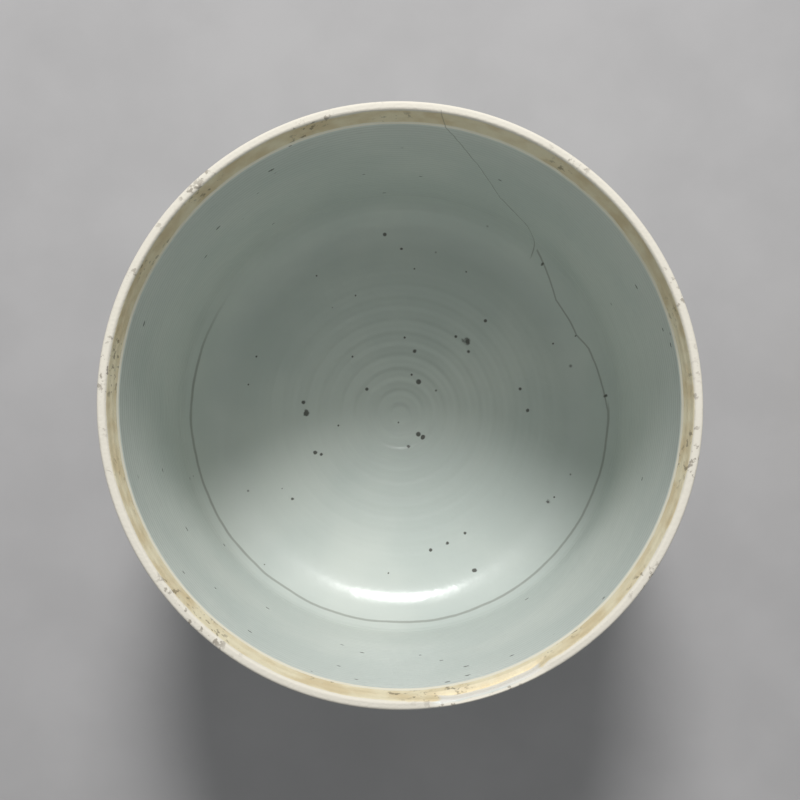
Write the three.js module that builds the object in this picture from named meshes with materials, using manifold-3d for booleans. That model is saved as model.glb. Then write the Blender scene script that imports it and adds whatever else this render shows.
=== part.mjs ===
// A straight-sided porcelain jar with its lid taken off and stood beside it.
// Millimetres, +Z up. The origin is on the surface that both stand on, midway along X.
// The potter luted five fired-together sections: wall, base, lid dome, lid flange and knob.

import * as THREE from 'three';
import { mergeVertices } from 'three/addons/utils/BufferGeometryUtils.js';
import Module from 'manifold-3d';

const wasm = await Module();
wasm.setup();

// Jar
const jarRadius = 66;
const jarHeight = 118;
const wallThickness = 3.5;
const floorThickness = 5.5;
const coveRadius = 14;
const seamInset = 2.1;

// Foot ring under the jar
const footHeight = 3.5;
const footInset = 5.5;
const footWidth = 5.5;
const footFlare = 1;
const shoulderRise = 10;

// Lip and the unglazed strip that the lid's flange goes into
const lipOuterRound = 0.6;
const lipInnerRound = 0.4;
const stripDepth = 6.5;
const stripFlare = 1.5;
const glazeEdge = 0.3;

// Throwing rings on the inside floor
const ringCount = 3;
const ringRelief = 0.25;

// Chip out of the inner side of the lip
const chipAngle = -72.5;
const chipHalfLength = 12;
const chipHalfWidth = 2.2;
const chipDepth = 3;

// Lid
const lidOverhang = 1.5;
const lidEdgeThickness = 4;
const lidEdgeRound = 1;
const domeRise = 14;
const domeThickness = 4.5;
const flangeClearance = 1.3;
const flangeThickness = 3.5;
const flangeDepth = 8;
const hollowStep = 0.7;

// Knob
const knobRadius = 13;
const knobBulbHeight = 14;
const knobNeckRadius = 7.5;
const knobNeckHeight = 3;
const knobLandMargin = 1.5;

// The lid stands this far from the jar, axis to axis
const lidSpacing = 196;

// Facets
const segments = 40;
const arcSteps = 5;
const ringSteps = 4;
const domeSteps = 6;

// Sizes that follow from the ones above
const innerRadius = jarRadius - wallThickness;
const floorTop = footHeight + floorThickness;
const coveCentreRadius = innerRadius - coveRadius;
const coveCentreZ = floorTop + coveRadius;
const seamRadius = innerRadius - seamInset;
const seamAngle = -Math.acos((seamRadius - coveCentreRadius) / coveRadius);
const seamZ = coveCentreZ + coveRadius * Math.sin(seamAngle);
const lipInnerRadius = innerRadius + stripFlare;
const lidRadius = jarRadius + lidOverhang;
const flangeRadius = innerRadius - flangeClearance;
const flangeInnerRadius = flangeRadius - flangeThickness;
const knobLandRadius = knobNeckRadius + knobLandMargin;
const jarX = (jarRadius - lidRadius - lidSpacing) / 2;
const lidX = jarX + lidSpacing;

const glaze = new THREE.MeshStandardMaterial({ color: 0xd3d9d2, roughness: 0.25, metalness: 0 });
const bareClay = new THREE.MeshStandardMaterial({ color: 0xd8cbb0, roughness: 0.8, metalness: 0 });

const point = (radius, height) => new THREE.Vector2(radius, height);

// Points along an ellipse from one angle to another, in radians.
function arc(centre, radiusAcross, radiusUp, from, to, steps) {
  const points = [];
  for (let i = 0; i <= steps; i += 1) {
    const angle = from + (to - from) * i / steps;
    points.push(point(
      centre.x + radiusAcross * Math.cos(angle),
      centre.y + radiusUp * Math.sin(angle),
    ));
  }
  return points;
}

// Turns a profile of radius and height about the vertical axis.
function revolve(profile) {
  const geometry = new THREE.LatheGeometry(profile, segments);
  geometry.rotateX(Math.PI / 2);
  return geometry;
}

function mesh(name, geometry, material) {
  const result = new THREE.Mesh(geometry, material);
  result.name = name;
  return result;
}

function toSolid(geometry) {
  const bare = geometry.clone();
  bare.deleteAttribute('normal');
  bare.deleteAttribute('uv');
  const merged = mergeVertices(bare, 1e-4);
  return new wasm.Manifold(new wasm.Mesh({
    numProp: 3,
    vertProperties: new Float32Array(merged.attributes.position.array),
    triVerts: new Uint32Array(merged.index.array),
  }));
}

function fromSolid(solid) {
  const result = solid.getMesh();
  const geometry = new THREE.BufferGeometry();
  geometry.setAttribute('position', new THREE.BufferAttribute(result.vertProperties, 3));
  geometry.setIndex(new THREE.BufferAttribute(result.triVerts, 1));
  geometry.computeVertexNormals();
  return geometry;
}

// The wall stands on the base at the luting seam, part way up the cove.
function jarWall() {
  const lipLandOuter = jarRadius - lipOuterRound;
  const lipLandInner = lipInnerRadius + lipInnerRound;
  const profile = [
    point(seamRadius, seamZ),
    point(jarRadius, seamZ),
    ...arc(point(lipLandOuter, jarHeight - lipOuterRound), lipOuterRound, lipOuterRound,
      0, Math.PI / 2, 2),
    point(lipLandInner, jarHeight),
    point(lipInnerRadius, jarHeight - lipInnerRound),
    point(innerRadius + glazeEdge, jarHeight - stripDepth),
    point(innerRadius, jarHeight - stripDepth - glazeEdge),
    ...arc(point(coveCentreRadius, coveCentreZ), coveRadius, coveRadius, 0, seamAngle, 2),
  ];
  profile[profile.length - 1] = profile[0].clone();
  return revolve(profile);
}

// A shallow scoop along the inner edge of the lip, where the glaze and body broke away.
function lipChip() {
  const scoop = new THREE.SphereGeometry(1, 12, 8);
  const angle = THREE.MathUtils.degToRad(chipAngle);
  const radius = lipInnerRadius - lipInnerRound;
  scoop.scale(chipHalfWidth, chipHalfLength, chipDepth);
  scoop.rotateZ(angle);
  scoop.translate(radius * Math.cos(angle), radius * Math.sin(angle), jarHeight);
  return scoop;
}

// Floor, cove and foot ring in one piece, with throwing rings on the inside.
function jarBase() {
  const footOuter = jarRadius - footInset;
  const footInner = footOuter - footWidth;
  const cove = arc(point(coveCentreRadius, coveCentreZ), coveRadius, coveRadius,
    seamAngle, -Math.PI / 2, arcSteps);
  const floor = [];
  const floorSteps = ringCount * ringSteps;
  for (let i = 1; i < floorSteps; i += 1) {
    const wave = (1 - Math.cos(2 * Math.PI * i / ringSteps)) / 2;
    floor.push(point(coveCentreRadius * (1 - i / floorSteps), floorTop - ringRelief * wave));
  }
  const profile = [
    point(0, footHeight),
    point(footInner - footFlare, footHeight),
    point(footInner, 0),
    point(footOuter, 0),
    point(footOuter + footFlare, footHeight),
    ...arc(point(footOuter + footFlare, shoulderRise), footInset - footFlare,
      shoulderRise - footHeight, -Math.PI / 2, 0, arcSteps).slice(1),
    point(jarRadius, seamZ),
    ...cove,
    ...floor,
    point(0, floorTop),
  ];
  return revolve(profile);
}

// A shallow hollow dome, whose flat underside seats on the lip.
function lidDome() {
  const seat = flangeDepth;
  const chord = lidRadius - lidEdgeRound;
  const domeRadius = (chord * chord + domeRise * domeRise) / (2 * domeRise);
  const centre = point(0, seat + lidEdgeThickness + domeRise - domeRadius);
  const hollowSphere = domeRadius - domeThickness;
  const hollowRadius = flangeInnerRadius - hollowStep;
  const profile = [
    ...arc(centre, hollowSphere, hollowSphere, Math.PI / 2,
      Math.acos(hollowRadius / hollowSphere), domeSteps),
    point(hollowRadius, seat),
    point(lidRadius - lidEdgeRound, seat),
    point(lidRadius, seat + lidEdgeRound),
    point(lidRadius, seat + lidEdgeThickness - lidEdgeRound),
    ...arc(centre, domeRadius, domeRadius, Math.acos(chord / domeRadius),
      Math.acos(knobLandRadius / domeRadius), domeSteps),
    point(0, knobSeatZ()),
  ];
  profile[0].x = 0;
  return revolve(profile);
}

// Height of the small flat land on top of the dome that carries the knob.
function knobSeatZ() {
  const chord = lidRadius - lidEdgeRound;
  const domeRadius = (chord * chord + domeRise * domeRise) / (2 * domeRise);
  const drop = domeRadius - Math.sqrt(domeRadius * domeRadius - knobLandRadius * knobLandRadius);
  return flangeDepth + lidEdgeThickness + domeRise - drop;
}

// The ring below the lid that goes into the mouth and keeps the lid centred.
function lidFlange() {
  const profile = [
    point(flangeInnerRadius, 0),
    point(flangeRadius, 0),
    point(flangeRadius, flangeDepth),
    point(flangeInnerRadius, flangeDepth),
    point(flangeInnerRadius, 0),
  ];
  return revolve(profile);
}

function lidKnob() {
  const halfBulb = knobBulbHeight / 2;
  const neckAngle = -Math.acos(knobNeckRadius / knobRadius);
  const profile = [
    point(0, 0),
    point(knobNeckRadius, 0),
    ...arc(point(0, knobNeckHeight + halfBulb), knobRadius, halfBulb,
      neckAngle, Math.PI / 2, domeSteps),
  ];
  profile[profile.length - 1].x = 0;
  return revolve(profile);
}

const jar = new THREE.Group();
const chippedWall = toSolid(jarWall()).subtract(toSolid(lipChip()));
jar.add(mesh('jar_wall', fromSolid(chippedWall), glaze));
jar.add(mesh('jar_base', jarBase(), glaze));
jar.position.x = jarX;

const lid = new THREE.Group();
const knob = mesh('lid_knob', lidKnob(), glaze);
knob.position.z = knobSeatZ();
lid.add(mesh('lid_dome', lidDome(), glaze));
lid.add(mesh('lid_flange', lidFlange(), bareClay));
lid.add(knob);
lid.position.x = lidX;

const group = new THREE.Group();
group.add(jar, lid);

export default group;
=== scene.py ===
import math

import bpy
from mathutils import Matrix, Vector

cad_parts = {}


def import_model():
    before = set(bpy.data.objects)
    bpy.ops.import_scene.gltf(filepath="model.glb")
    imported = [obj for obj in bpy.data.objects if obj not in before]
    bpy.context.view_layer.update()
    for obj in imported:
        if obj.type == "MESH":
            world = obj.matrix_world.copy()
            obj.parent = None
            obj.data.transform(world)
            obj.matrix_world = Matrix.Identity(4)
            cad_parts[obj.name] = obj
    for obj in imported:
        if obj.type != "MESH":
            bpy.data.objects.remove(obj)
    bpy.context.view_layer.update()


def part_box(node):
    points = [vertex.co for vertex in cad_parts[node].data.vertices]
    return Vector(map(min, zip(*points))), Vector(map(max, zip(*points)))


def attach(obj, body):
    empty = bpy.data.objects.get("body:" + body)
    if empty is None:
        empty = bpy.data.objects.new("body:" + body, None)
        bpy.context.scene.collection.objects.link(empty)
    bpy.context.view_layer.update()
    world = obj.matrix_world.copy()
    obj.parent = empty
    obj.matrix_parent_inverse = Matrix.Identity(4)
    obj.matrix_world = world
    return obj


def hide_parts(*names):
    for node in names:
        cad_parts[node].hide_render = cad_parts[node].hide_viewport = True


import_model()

# The jar stands open and its lid stands beside it. Lengths are in metres, unless said to be in mm.
MM = 0.001
FACETS = 192
ON_AXIS = 1e-7

# The jar: its place, radius and height are those of its CAD solids
wall_low, wall_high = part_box("jar_wall")
JAR_X = (wall_low.x + wall_high.x) / 2
JAR_R = (wall_high.x - wall_low.x) / 2
JAR_H = wall_high.z
WALL = 3.5 * MM
INNER_R = JAR_R - WALL
FLOOR_Z = 9 * MM
COVE_R = 14 * MM

# Foot ring and the curve above it
FOOT_H = 3.5 * MM
FOOT_INSET = 5.5 * MM
FOOT_W = 5.5 * MM
FOOT_FLARE = 1 * MM
FOOT_EDGE = 0.3 * MM
FOOT_EDGE_INNER_H = 0.5 * MM
FOOT_EDGE_OUTER_H = 0.6 * MM
SHOULDER_Z = 10 * MM

# Lip, unglazed strip inside the mouth and the edge of the glaze below it
LIP_OUTER_ROUND = 0.6 * MM
LIP_INNER_ROUND = 0.4 * MM
OUTER_WALL_TOP = JAR_H - 0.8 * MM
STRIP_DEPTH = 6.5 * MM
STRIP_FLARE = 1.5 * MM
STRIP_LEDGE = 0.3 * MM
GLAZE_EDGE_H = 0.4 * MM
GLAZE_EDGE_SWELL = 0.05 * MM

# The mouth is a little oval and its edge a little uneven
OVAL = 0.35 * MM
OVAL_ANGLE = 110
OVAL_FROM = 0.6
UNEVEN_DEPTH = 3 * MM
UNEVEN = 0.12 * MM

# Chip in the inner side of the lip: its form, and between which angles it shows bare, in degrees
CHIP_ANGLE = -72.5
CHIP_HALF_ANGLE = 12
CHIP_SIDES = (-83, -62)
CHIP_ZONE = 4 * MM
CHIP_START = 1 * MM
CHIP_WIDTH = 2.2 * MM
CHIP_OUT = 1.3 * MM
CHIP_DOWN = 1.7 * MM

# Throwing rings on the floor
RING_PITCH = 5.2 * MM
RING_RELIEF = 0.16 * MM
FINE_RING_PITCH = 2.1 * MM
FINE_RING_RELIEF = 0.07 * MM
RING_REACH = 50 * MM

# The lid: its place, radius and heights are those of its CAD solids
dome_low, dome_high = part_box("lid_dome")
flange_low, flange_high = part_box("lid_flange")
knob_low, knob_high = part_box("lid_knob")
LID_X = (dome_low.x + dome_high.x) / 2
LID_R = (dome_high.x - dome_low.x) / 2
LID_EDGE = 4 * MM
LID_ROUND = 1 * MM
DOME_RISE = 14 * MM
DOME_T = 4.5 * MM
HOLLOW_STEP = 0.7 * MM
LID_SEAT_INSET = 1 * MM
FLANGE_R = (flange_high.x - flange_low.x) / 2
FLANGE_W = 3.5 * MM
FLANGE_ROUND = 0.7 * MM
KNOB_R = (knob_high.x - knob_low.x) / 2
KNOB_NECK = 7.5 * MM
KNOB_NECK_H = 3 * MM
KNOB_MARGIN = 1.5 * MM

# Camera, from where the rim and the floor lie in the photograph's frame
RIM_DISTANCE = 0.3
CAMERA_Y = -8.1 * MM
AIM_Y = 0.76 * MM
LENS_MM = 62.5
SENSOR_MM = 36

# Lamp, tilted from upright towards +Y, and the even light round it
KEY_TILT = math.radians(38)
KEY_DISTANCE = 0.95
KEY_SIZE = 0.26
KEY_WATTS = 7.6
WORLD_COLOUR = (0.95, 0.98, 1, 1)
WORLD_STRENGTH = 0.3
FLOOR_HALF = 3


def linear(red, green, blue):
    """A colour written in sRGB from 0 to 255, as the linear colour that shaders take."""
    def channel(value):
        value /= 255
        return value / 12.92 if value <= 0.04045 else ((value + 0.055) / 1.055) ** 2.4
    return (channel(red), channel(green), channel(blue), 1)


GLAZE = linear(216, 221, 215)
GLAZE_DEEP = linear(204, 211, 206)
CREAM = linear(244, 238, 220)
CLAY = linear(238, 227, 196)
CLAY_DARK = linear(220, 202, 164)
LIP = linear(228, 222, 208)
CHIP = linear(228, 224, 216)
DIRT = linear(96, 82, 62)
SPECK = linear(58, 52, 44)
CRACK = linear(92, 84, 70)
GROUND = linear(176, 174, 174)
GROUND_PALE = linear(182, 180, 180)

# How rough the surfaces are, and how deep their fine relief is
GLAZE_ROUGHNESS = 0.24
GLAZE_UNEVENNESS = 0.08
BARE_ROUGHER_BY = 0.5
CLAY_ROUGHNESS = 0.78
GROUND_ROUGHNESS = 0.9
GLAZE_RELIEF = {"strength": 0.35, "distance": 0.25 * MM}
CLAY_RELIEF = {"strength": 0.4, "distance": 0.3 * MM}

# Radians of the wave of the fine turning lines in one mm
TURNING = 2.6

# Bands below the lip and inside the outer wall, in mm: where each starts and where it is full
CREAM_BAND = (7.6, 7.0)
CLAY_BAND = (6.5, 6.1)
LIP_BAND = (0.9, 0.5)
CHIP_BAND = (4.2, 3.6)
SPECK_BAND = (6, 7)
INSIDE_BAND = (1.35, 1.6)
CHIP_REACH = (0.9, 1.2)
CRACK_REACH = (2.4, 3.0)

# The same for bands above the ground and above the lid's seat
FOOT_BAND = (2.6, 2.2)
WALL_CRACK_FOOT = (12, 14)
LID_SEAT_BAND = (1.0, 0.6)

# Hairline cracks, each a list of an angle in degrees and a height (wall) or radius (floor) in mm
WALL_CRACK = [(50, 14), (55.3, 33.5), (64.8, 50), (74.5, 88), (80.6, 111), (82, 118)]
FLOOR_CRACK = [(0, 60.4), (7, 59.3), (19, 58.3), (24, 56.6), (36, 56.6), (46.6, 60.3), (50, 61.5)]
SEAM_CRACK_R = 60.4
CRACK_STRENGTH = 0.42

# Half the width of each crack in mm, where the seam's fades out in degrees, and its heights in mm
WALL_CRACK_WIDTH = 0.9
FLOOR_CRACK_WIDTH = 0.3
SEAM_CRACK_WIDTH = 0.38
SEAM_CRACK_ENDS = ((4, 0), (140, 170))
COVE_BANDS = ((24, 20), (6, 8))

# Iron spots on the floor: pixel across, pixel down and size in mm, in the 800 pixel frame
FLOOR_PIXEL_X = 399.5
FLOOR_PIXEL_Y = 412.0
FLOOR_PIXELS_PER_MM = 3.39
FLOOR_SPECKS = [
    (466, 270, 1.2), (404, 336, 1.0), (455, 335, 1.2), (466, 340, 2.6), (414, 350, 1.8),
    (352, 355, 1.0), (411, 373, 0.9), (303, 401, 1.4), (306, 411, 2.8), (315, 451, 1.4),
    (321, 453, 1.2), (292, 497, 1.2), (282, 487, 0.8), (547, 500, 1.8), (464, 531, 1.2),
    (447, 541, 1.3), (430, 548, 1.1), (473, 568, 1.6), (388, 571, 1.0), (540, 265, 1.4),
    (574, 335, 1.2), (602, 395, 1.6), (527, 409, 1.3), (355, 294, 0.9), (414, 267, 1.0),
    (401, 247, 0.9), (316, 274, 0.9), (256, 355, 0.9), (248, 383, 0.8), (338, 424, 0.8),
    (408, 445, 1.4), (422, 436, 1.5), (398, 421, 0.9),
]
SPECK_STRENGTH = 0.85
FLOOR_SPECK_HEIGHTS = (30 * MM, 25 * MM)

# How strongly dirt shows on the worn lip and strip
WORN_STRENGTH = 0.6


# Meshes turned about an upright axis

def arc(centre_r, centre_z, across, up, start, end, steps):
    """Points of radius and height along an ellipse, from one angle in degrees to another."""
    points = []
    for i in range(steps + 1):
        angle = math.radians(start + (end - start) * i / steps)
        points.append((centre_r + across * math.cos(angle), centre_z + up * math.sin(angle)))
    return points


def line(start, end, steps):
    """Points along a straight stretch, without its first one."""
    return [
        (start[0] + (end[0] - start[0]) * i / steps, start[1] + (end[1] - start[1]) * i / steps)
        for i in range(1, steps + 1)
    ]


def turned(name, profile, axis_x, move=None):
    """A closed mesh: the profile of radius and height turned about an upright axis."""
    closed = profile[0][0] > 0
    vertices, faces, rings = [], [], []
    for radius, height in profile:
        if radius <= ON_AXIS:
            rings.append([len(vertices)])
            vertices.append((axis_x, 0, height))
            continue
        ring = []
        for i in range(FACETS):
            angle = 2 * math.pi * i / FACETS
            r, z = move(radius, height, angle) if move else (radius, height)
            ring.append(len(vertices))
            vertices.append((axis_x + r * math.cos(angle), r * math.sin(angle), z))
        rings.append(ring)
    pairs = list(zip(rings, rings[1:]))
    if closed:
        pairs.append((rings[-1], rings[0]))
    for lower, upper in pairs:
        for i in range(FACETS):
            j = (i + 1) % FACETS
            if len(lower) == 1:
                faces.append((lower[0], upper[j], upper[i]))
            elif len(upper) == 1:
                faces.append((lower[i], lower[j], upper[0]))
            else:
                faces.append((lower[i], lower[j], upper[j], upper[i]))
    mesh = bpy.data.meshes.new(name)
    mesh.from_pydata(vertices, [], faces)
    mesh.shade_smooth()
    piece = bpy.data.objects.new(name, mesh)
    bpy.context.scene.collection.objects.link(piece)
    return piece


def jar_form(radius, height, angle):
    """Gives the turned jar its slight oval, its uneven edge and the chip in its lip."""
    oval = OVAL * (1 - math.cos(2 * (angle - math.radians(OVAL_ANGLE)))) / 2
    rim = max(0, (height - OVAL_FROM * JAR_H) / ((1 - OVAL_FROM) * JAR_H))
    r = radius - oval * rim
    z = height
    if height > JAR_H - UNEVEN_DEPTH:
        z -= UNEVEN * (1 + math.sin(3 * angle + 1) * math.sin(7 * angle))
    away = (math.degrees(angle) - CHIP_ANGLE + 180) % 360 - 180
    chip = max(0, 1 - (away / CHIP_HALF_ANGLE) ** 2)
    inside = max(0, 1 - max(0, radius - INNER_R - CHIP_START) / CHIP_WIDTH)
    if height > JAR_H - CHIP_ZONE and chip > 0:
        ragged = 0.75 + 0.25 * math.sin(away * 2.3) * math.sin(away * 5.1)
        deep = chip ** 0.5 * inside * ragged
        r += CHIP_OUT * deep
        z -= CHIP_DOWN * deep
    return min(r, JAR_R), z


def throwing_rings(radius):
    """Relief of the rings that the potter's fingers leave on the floor."""
    waves = math.sin(radius * 2 * math.pi / RING_PITCH) * RING_RELIEF
    fine = math.sin(radius * 2 * math.pi / FINE_RING_PITCH + 1) * FINE_RING_RELIEF
    return (waves + fine) * max(0, 1 - radius / RING_REACH)


def jar_profile():
    foot_out = JAR_R - FOOT_INSET
    foot_in = foot_out - FOOT_W
    points = [(0, FOOT_H)]
    points += line((0, FOOT_H), (foot_in - FOOT_FLARE, FOOT_H), 4)
    points += [(foot_in - FOOT_EDGE, FOOT_EDGE_INNER_H), (foot_in, 0)]
    points += [(foot_out, 0), (foot_out + FOOT_EDGE, FOOT_EDGE_OUTER_H)]
    points += arc(foot_out + FOOT_FLARE, SHOULDER_Z, FOOT_INSET - FOOT_FLARE, SHOULDER_Z - FOOT_H,
                  -90, 0, 8)
    points += line((JAR_R, SHOULDER_Z), (JAR_R, OUTER_WALL_TOP), 24)

    # Lip, then the strip down to the edge of the glaze
    strip_r = INNER_R + STRIP_FLARE
    land_out = (JAR_R - LIP_OUTER_ROUND, JAR_H)
    land_in = (strip_r + LIP_INNER_ROUND, JAR_H)
    strip_top = (strip_r, JAR_H - LIP_INNER_ROUND)
    strip_foot = (INNER_R + STRIP_LEDGE, JAR_H - STRIP_DEPTH)
    points += arc(land_out[0], JAR_H - LIP_OUTER_ROUND, LIP_OUTER_ROUND, LIP_OUTER_ROUND, 20, 90, 4)
    points += line(land_out, land_in, 4)
    points += line(land_in, strip_top, 2)
    points += line(strip_top, strip_foot, 10)

    # Wall, cove and floor, down to the axis
    points += [(INNER_R + GLAZE_EDGE_SWELL, strip_foot[1] - GLAZE_EDGE_H)]
    points += line(points[-1], (INNER_R, FLOOR_Z + COVE_R), 40)
    points += arc(INNER_R - COVE_R, FLOOR_Z + COVE_R, COVE_R, COVE_R, -5, -90, 18)
    floor_r = INNER_R - COVE_R
    steps = 96
    for i in range(1, steps):
        radius = floor_r * (1 - i / steps)
        points.append((radius, FLOOR_Z + throwing_rings(radius)))
    points.append((0, FLOOR_Z))
    return points


def dome_profile():
    seat = flange_high.z
    chord = LID_R - LID_ROUND
    land = KNOB_NECK + KNOB_MARGIN
    sphere = (chord ** 2 + DOME_RISE ** 2) / (2 * DOME_RISE)
    centre_z = seat + LID_EDGE + DOME_RISE - sphere
    hollow = sphere - DOME_T
    hollow_r = FLANGE_R - FLANGE_W - HOLLOW_STEP
    under = math.degrees(math.acos(hollow_r / hollow))
    points = arc(0, centre_z, hollow, hollow, 90, under, 20)
    points[0] = (0, points[0][1])
    points += [(hollow_r, seat)] + line((hollow_r, seat), (chord, seat), 6)
    points += arc(chord, seat + LID_ROUND, LID_ROUND, LID_ROUND, -70, 0, 5)
    points += arc(chord, seat + LID_EDGE - LID_ROUND, LID_ROUND, LID_ROUND, 0, 70, 5)
    edge = math.degrees(math.acos(chord / sphere))
    top = math.degrees(math.acos(land / sphere))
    points += arc(0, centre_z, sphere, sphere, edge, top, 30)[1:]
    points += [(0, dome_high.z)]
    return points


def flange_profile():
    inner = FLANGE_R - FLANGE_W
    low, high = flange_low.z, flange_high.z
    bend = low + FLANGE_ROUND
    points = arc(inner + FLANGE_ROUND, bend, FLANGE_ROUND, FLANGE_ROUND, 180, 270, 4)
    points += arc(FLANGE_R - FLANGE_ROUND, bend, FLANGE_ROUND, FLANGE_ROUND, 270, 360, 4)
    points += line((FLANGE_R, bend), (FLANGE_R, high), 6)
    points += line((FLANGE_R, high), (inner, high), 2)
    points += line((inner, high), (inner, bend), 6)[:-1]
    return points


def knob_profile():
    low, high = knob_low.z, knob_high.z
    half = (high - low - KNOB_NECK_H) / 2
    start = -math.degrees(math.acos(KNOB_NECK / KNOB_R))
    points = [(0, low), (KNOB_NECK, low)]
    points += arc(0, high - half, KNOB_R, half, start, 88, 28)
    points += [(0, high)]
    return points


# Materials

class Nodes:
    """Short calls for the nodes of one material."""

    def __init__(self, name):
        self.material = bpy.data.materials.new(name)
        self.material.use_nodes = True
        self.tree = self.material.node_tree
        self.shader = self.tree.nodes["Principled BSDF"]

    def add(self, kind, **inputs):
        node = self.tree.nodes.new(kind)
        for key, value in inputs.items():
            self.put(value, node.inputs[key])
        return node

    def put(self, value, socket):
        if isinstance(value, bpy.types.NodeSocket):
            self.tree.links.new(value, socket)
        else:
            socket.default_value = value

    def math(self, operation, *values):
        node = self.tree.nodes.new("ShaderNodeMath")
        node.operation = operation
        for value, socket in zip(values, node.inputs):
            self.put(value, socket)
        return node.outputs[0]

    def step(self, value, start, full):
        """Smoothly from 0 at start to 1 at full, whichever of them is the larger."""
        node = self.tree.nodes.new("ShaderNodeMapRange")
        node.interpolation_type = "SMOOTHSTEP"
        falls = start > full
        self.put(value, node.inputs["Value"])
        node.inputs["From Min"].default_value = min(start, full)
        node.inputs["From Max"].default_value = max(start, full)
        node.inputs["To Min"].default_value = 1 if falls else 0
        node.inputs["To Max"].default_value = 0 if falls else 1
        return node.outputs[0]

    def mix(self, amount, first, second):
        node = self.tree.nodes.new("ShaderNodeMix")
        node.data_type = "RGBA"
        self.put(amount, node.inputs[0])
        self.put(first, node.inputs[6])
        self.put(second, node.inputs[7])
        return node.outputs[2]

    def noise(self, vector, scale, detail=3.0):
        return self.add("ShaderNodeTexNoise", Vector=vector, Scale=scale, Detail=detail).outputs[0]

    def place(self, axis_x=0.0):
        """Position as the piece has it at rest, from an upright axis."""
        move = self.tree.nodes.new("ShaderNodeVectorMath")
        move.operation = "SUBTRACT"
        self.put(self.tree.nodes.new("ShaderNodeTexCoord").outputs["Object"], move.inputs[0])
        self.put((axis_x, 0, 0), move.inputs[1])
        return move.outputs[0]

    def split(self, vector):
        return self.add("ShaderNodeSeparateXYZ", Vector=vector).outputs

    def radius(self, x, y):
        squares = self.math("ADD", self.math("MULTIPLY", x, x), self.math("MULTIPLY", y, y))
        return self.math("SQRT", squares)

    def bump(self, height, strength, distance):
        node = self.add("ShaderNodeBump", Strength=strength, Distance=distance, Height=height)
        self.put(node.outputs[0], self.shader.inputs["Normal"])

    def finish(self, colour, roughness):
        self.put(colour, self.shader.inputs["Base Color"])
        self.put(roughness, self.shader.inputs["Roughness"])
        return self.material


def curve(n, value, points, low, high):
    """A path of straight stretches through points, with its heights between low and high."""
    start, end = points[0][0], points[-1][0]
    scaled = n.math("DIVIDE", n.math("SUBTRACT", value, start), end - start)
    node = n.tree.nodes.new("ShaderNodeFloatCurve")
    track = node.mapping.curves[0]
    while len(track.points) < len(points):
        track.points.new(0.5, 0.5)
    for knot, (at, height) in zip(track.points, points):
        knot.location = ((at - start) / (end - start), (height - low) / (high - low))
        knot.handle_type = "VECTOR"
    node.mapping.update()
    n.put(scaled, node.inputs["Value"])
    return n.math("ADD", n.math("MULTIPLY", node.outputs[0], high - low), low)


def between(n, value, low, high, soft):
    rising = n.step(value, low - soft, low + soft)
    return n.math("MULTIPLY", rising, n.step(value, high + soft, high - soft))


def hairline(n, distance, width):
    return n.step(n.math("ABSOLUTE", distance), width, width * 0.3)


def scattered_specks(n, place, scale, size, share):
    """Small iron spots: one in each cell of a Voronoi pattern that a random value picks."""
    cells = n.add("ShaderNodeTexVoronoi", Vector=place, Scale=scale)
    pick = n.add("ShaderNodeSeparateColor", Color=cells.outputs["Color"]).outputs
    chosen = n.step(pick[0], share, share * 0.98)
    spread = n.math("MULTIPLY_ADD", pick[1], size, size * 0.35)
    near = n.math("DIVIDE", cells.outputs["Distance"], spread)
    return n.math("MULTIPLY", n.step(near, 1, 0.55), chosen)


def floor_specks(n, place, ragged):
    """The larger iron spots on the floor, each where the photograph's frame shows it."""
    x, y, z = n.split(place)
    total = None
    for pixel_x, pixel_y, size in FLOOR_SPECKS:
        across = n.math("SUBTRACT", x, (pixel_x - FLOOR_PIXEL_X) / FLOOR_PIXELS_PER_MM * MM)
        along = n.math("SUBTRACT", y, (FLOOR_PIXEL_Y - pixel_y) / FLOOR_PIXELS_PER_MM * MM)
        squares = n.math("MULTIPLY_ADD", across, across, n.math("MULTIPLY", along, along))
        apart = n.math("MULTIPLY_ADD", ragged, 1.1 * size * MM, n.math("SQRT", squares))
        spot = n.step(apart, size * 0.45 * MM, size * 0.2 * MM)
        total = n.math("MAXIMUM", total, spot) if total else spot
    return n.math("MULTIPLY", total, n.step(z, *FLOOR_SPECK_HEIGHTS))


def drift(n, place, scale):
    """Noise that strays about as far below nought as above it."""
    return n.math("SUBTRACT", n.noise(place, scale=scale), 0.5)


def orange_peel(n, place):
    return n.noise(place, scale=260.0, detail=2.0)


def clay_grain(n, place):
    return n.noise(place, scale=1500.0, detail=4.0)


def glaze_tone(n, place):
    return n.mix(n.step(n.noise(place, scale=22.0), 0.35, 0.65), GLAZE, GLAZE_DEEP)


def clay_tone(n, place):
    return n.mix(n.step(n.noise(place, scale=160.0, detail=6.0), 0.35, 0.7), CLAY, CLAY_DARK)


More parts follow.
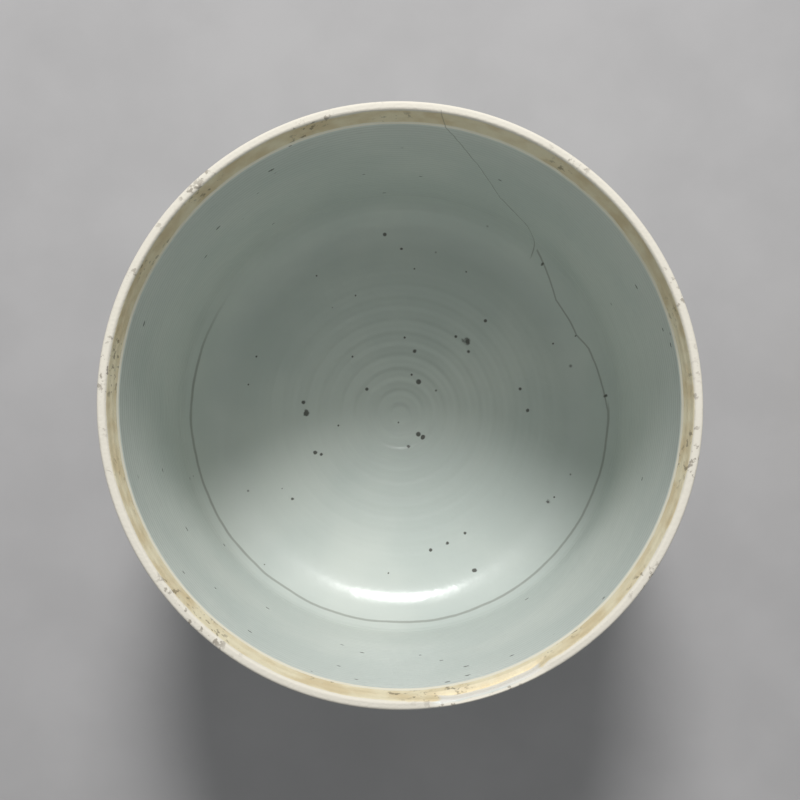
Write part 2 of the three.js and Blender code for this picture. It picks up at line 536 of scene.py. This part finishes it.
def jar_cracks(n, height, across, degrees, inner, shake):
    """A crack down the wall, one across the cove, and one round the luting seam."""
    wall_path = curve(n, degrees, WALL_CRACK, low=0, high=120)
    wall_gap = n.math("SUBTRACT", height, n.math("ADD", wall_path, n.math("MULTIPLY", shake, 2)))
    wall_span = between(n, degrees, WALL_CRACK[0][0], WALL_CRACK[-1][0], 0.3)
    wall = n.math("MULTIPLY", hairline(n, wall_gap, WALL_CRACK_WIDTH), wall_span)
    wall = n.math("MULTIPLY", wall, n.math("MULTIPLY", inner, n.step(height, *WALL_CRACK_FOOT)))

    floor_path = curve(n, degrees, FLOOR_CRACK, low=50, high=65)
    floor_gap = n.math("SUBTRACT", across, n.math("MULTIPLY_ADD", shake, 0.35, floor_path))
    floor_span = between(n, degrees, FLOOR_CRACK[0][0], FLOOR_CRACK[-1][0], 0.3)
    cove = n.math("MULTIPLY", hairline(n, floor_gap, FLOOR_CRACK_WIDTH), floor_span)

    seam_gap = n.math("SUBTRACT", across, n.math("MULTIPLY_ADD", shake, 0.35, SEAM_CRACK_R))
    ends = [n.step(degrees, *end) for end in SEAM_CRACK_ENDS]
    seam = n.math("MULTIPLY", hairline(n, seam_gap, SEAM_CRACK_WIDTH), n.math("MAXIMUM", *ends))

    heights = [n.step(height, *band) for band in COVE_BANDS]
    ring = n.math("MULTIPLY", n.math("MAXIMUM", cove, seam), n.math("MULTIPLY", *heights))
    reach = [JAR_R / MM - inset for inset in CRACK_REACH]
    return n.math("MAXIMUM", wall, n.math("MULTIPLY", ring, n.step(across, *reach)))


def jar_glaze():
    """Glaze, cracks and iron spots, and the bare clay of the mouth and foot."""
    n = Nodes("jar_glaze")
    place = n.place(JAR_X)
    x, y, z = n.split(place)
    height = n.math("MULTIPLY", z, 1000)
    across = n.math("MULTIPLY", n.radius(x, y), 1000)
    degrees = n.math("DEGREES", n.math("ARCTAN2", y, x))
    wander = drift(n, place, scale=90.0)
    ragged = drift(n, place, scale=420.0)
    shake = n.math("MULTIPLY", wander, 2.2)
    level = n.math("ADD", height, n.math("MULTIPLY_ADD", wander, 1.2, n.math("MULTIPLY", ragged, 0.5)))

    def below_lip(band):
        return n.step(level, JAR_H / MM - band[0], JAR_H / MM - band[1])

    def inside_wall(band):
        return n.step(across, JAR_R / MM - band[0], JAR_R / MM - band[1])

    inner = inside_wall(INSIDE_BAND)
    foot = n.step(n.math("ADD", height, n.math("MULTIPLY", wander, 1.5)), *FOOT_BAND)
    colour = n.mix(foot, glaze_tone(n, place), CLAY)

    # Cream line at the edge of the glaze, then the unglazed strip, then the worn lip
    colour = n.mix(n.math("MULTIPLY", inner, below_lip(CREAM_BAND)), colour, CREAM)
    strip = n.math("MULTIPLY", inner, below_lip(CLAY_BAND))
    colour = n.mix(strip, colour, clay_tone(n, place))
    lip = below_lip(LIP_BAND)
    colour = n.mix(lip, colour, LIP)
    grime = n.step(n.noise(place, scale=700.0, detail=5.0), 0.56, 0.64)
    patchy = n.step(n.noise(place, scale=60.0), 0.5, 0.62)
    worn = n.math("MULTIPLY", n.math("MULTIPLY", grime, patchy), n.math("MAXIMUM", lip, strip))
    colour = n.mix(n.math("MULTIPLY", worn, WORN_STRENGTH), colour, DIRT)

    # Chip in the inner side of the lip
    chip_angles = between(n, n.math("MULTIPLY_ADD", wander, 3.0, degrees), *CHIP_SIDES, 0.6)
    chip = n.math("MULTIPLY", chip_angles, below_lip(CHIP_BAND))
    chip = n.math("MULTIPLY", chip, inside_wall(CHIP_REACH))
    colour = n.mix(chip, colour, CHIP)

    crack = jar_cracks(n, height, across, degrees, inner, shake)
    colour = n.mix(n.math("MULTIPLY", crack, CRACK_STRENGTH), colour, CRACK)

    spots = floor_specks(n, place, ragged)
    spots = n.math("MAXIMUM", spots, scattered_specks(n, place, scale=200.0, size=0.16, share=0.12))
    spots = n.math("MULTIPLY", spots, below_lip(SPECK_BAND))
    colour = n.mix(n.math("MULTIPLY", spots, SPECK_STRENGTH), colour, SPECK)

    bare = n.math("MAXIMUM", n.math("MAXIMUM", strip, lip), n.math("MAXIMUM", chip, foot))
    glazed = n.math("MULTIPLY_ADD", wander, GLAZE_UNEVENNESS, GLAZE_ROUGHNESS)
    roughness = n.math("MULTIPLY_ADD", bare, BARE_ROUGHER_BY, glazed)

    # Fine turning lines inside the jar, orange peel in the glaze, grain in the bare clay
    lines = n.math("SINE", n.math("MULTIPLY_ADD", shake, 1.5, n.math("MULTIPLY", height, TURNING)))
    lines = n.math("MULTIPLY", lines, inner)
    grain = n.math("MULTIPLY", clay_grain(n, place), bare)
    fine = n.math("MULTIPLY_ADD", grain, 1.2, orange_peel(n, place))
    relief = n.math("MULTIPLY_ADD", lines, 0.18, fine)
    n.bump(n.math("SUBTRACT", relief, crack), **GLAZE_RELIEF)
    return n.finish(colour, roughness)


def lid_glaze():
    """The jar's glaze, with faint turning lines and a bare ring where the lid seats."""
    n = Nodes("lid_glaze")
    place = n.place(LID_X)
    x, y, z = n.split(place)
    radius = n.radius(x, y)
    height = n.math("MULTIPLY", z, 1000)
    wander = drift(n, place, scale=90.0)
    above_seat = [flange_high.z / MM + rise for rise in LID_SEAT_BAND]
    rim = n.step(n.math("MULTIPLY_ADD", wander, 0.8, height), *above_seat)
    bare = n.math("MULTIPLY", rim, n.step(radius, FLANGE_R - LID_SEAT_INSET, FLANGE_R))
    colour = n.mix(bare, glaze_tone(n, place), CLAY)
    spots = scattered_specks(n, place, scale=80.0, size=0.05, share=0.20)
    colour = n.mix(n.math("MULTIPLY", spots, SPECK_STRENGTH), colour, SPECK)
    lines = n.math("SINE", n.math("MULTIPLY", radius, TURNING / MM))
    n.bump(n.math("MULTIPLY_ADD", lines, 0.03, orange_peel(n, place)), **GLAZE_RELIEF)
    return n.finish(colour, n.math("MULTIPLY_ADD", bare, BARE_ROUGHER_BY, GLAZE_ROUGHNESS))


def bare_clay():
    n = Nodes("bare_clay")
    place = n.place(LID_X)
    n.bump(clay_grain(n, place), **CLAY_RELIEF)
    return n.finish(clay_tone(n, place), CLAY_ROUGHNESS)


def ground():
    n = Nodes("floor_grey")
    shade = n.step(n.noise(n.place(), scale=30.0, detail=6.0), 0.3, 0.7)
    return n.finish(n.mix(shade, GROUND, GROUND_PALE), GROUND_ROUGHNESS)


# The pieces

def add(name, profile, axis_x, body, nodes, material, move=None):
    piece = turned(name, profile, axis_x, move)
    piece.data.materials.append(material)
    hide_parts(*nodes)
    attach(piece, body)


lid_material = lid_glaze()
add("jar_body", jar_profile(), JAR_X, "jar", ["jar_wall", "jar_base"], jar_glaze(), jar_form)
add("lid_cover", dome_profile(), LID_X, "lid", ["lid_dome"], lid_material)
add("lid_inset_ring", flange_profile(), LID_X, "lid", ["lid_flange"], bare_clay())
add("lid_handle_knob", knob_profile(), LID_X, "lid", ["lid_knob"], lid_material)


# Floor, lamp and camera

def floor():
    low, high = -FLOOR_HALF, FLOOR_HALF
    mesh = bpy.data.meshes.new("floor")
    corners = [(low, low, 0), (high, low, 0), (high, high, 0), (low, high, 0)]
    mesh.from_pydata(corners, [], [(0, 1, 2, 3)])
    mesh.materials.append(ground())
    piece = bpy.data.objects.new("floor", mesh)
    bpy.context.scene.collection.objects.link(piece)


def aim(item, target):
    item.rotation_euler = (target - item.location).to_track_quat("-Z", "Y").to_euler()
    bpy.context.scene.collection.objects.link(item)


def key_lamp():
    data = bpy.data.lights.new("key", "AREA")
    data.shape = "DISK"
    data.size = KEY_SIZE
    data.energy = KEY_WATTS
    item = bpy.data.objects.new("key", data)
    target = Vector((JAR_X, 0, JAR_H / 2))
    item.location = target + Vector((0, math.sin(KEY_TILT), math.cos(KEY_TILT))) * KEY_DISTANCE
    aim(item, target)


def world():
    item = bpy.data.worlds.new("studio")
    item.use_nodes = True
    background = item.node_tree.nodes["Background"]
    background.inputs["Color"].default_value = WORLD_COLOUR
    background.inputs["Strength"].default_value = WORLD_STRENGTH
    bpy.context.scene.world = item


def camera():
    data = bpy.data.cameras.new("camera")
    data.lens = LENS_MM
    data.sensor_width = SENSOR_MM
    item = bpy.data.objects.new("camera", data)
    item.location = (JAR_X, CAMERA_Y, JAR_H + RIM_DISTANCE)
    aim(item, Vector((JAR_X, AIM_Y, JAR_H)))
    bpy.context.scene.camera = item


floor()
key_lamp()
world()
camera()
bpy.context.scene.view_settings.view_transform = "Standard"
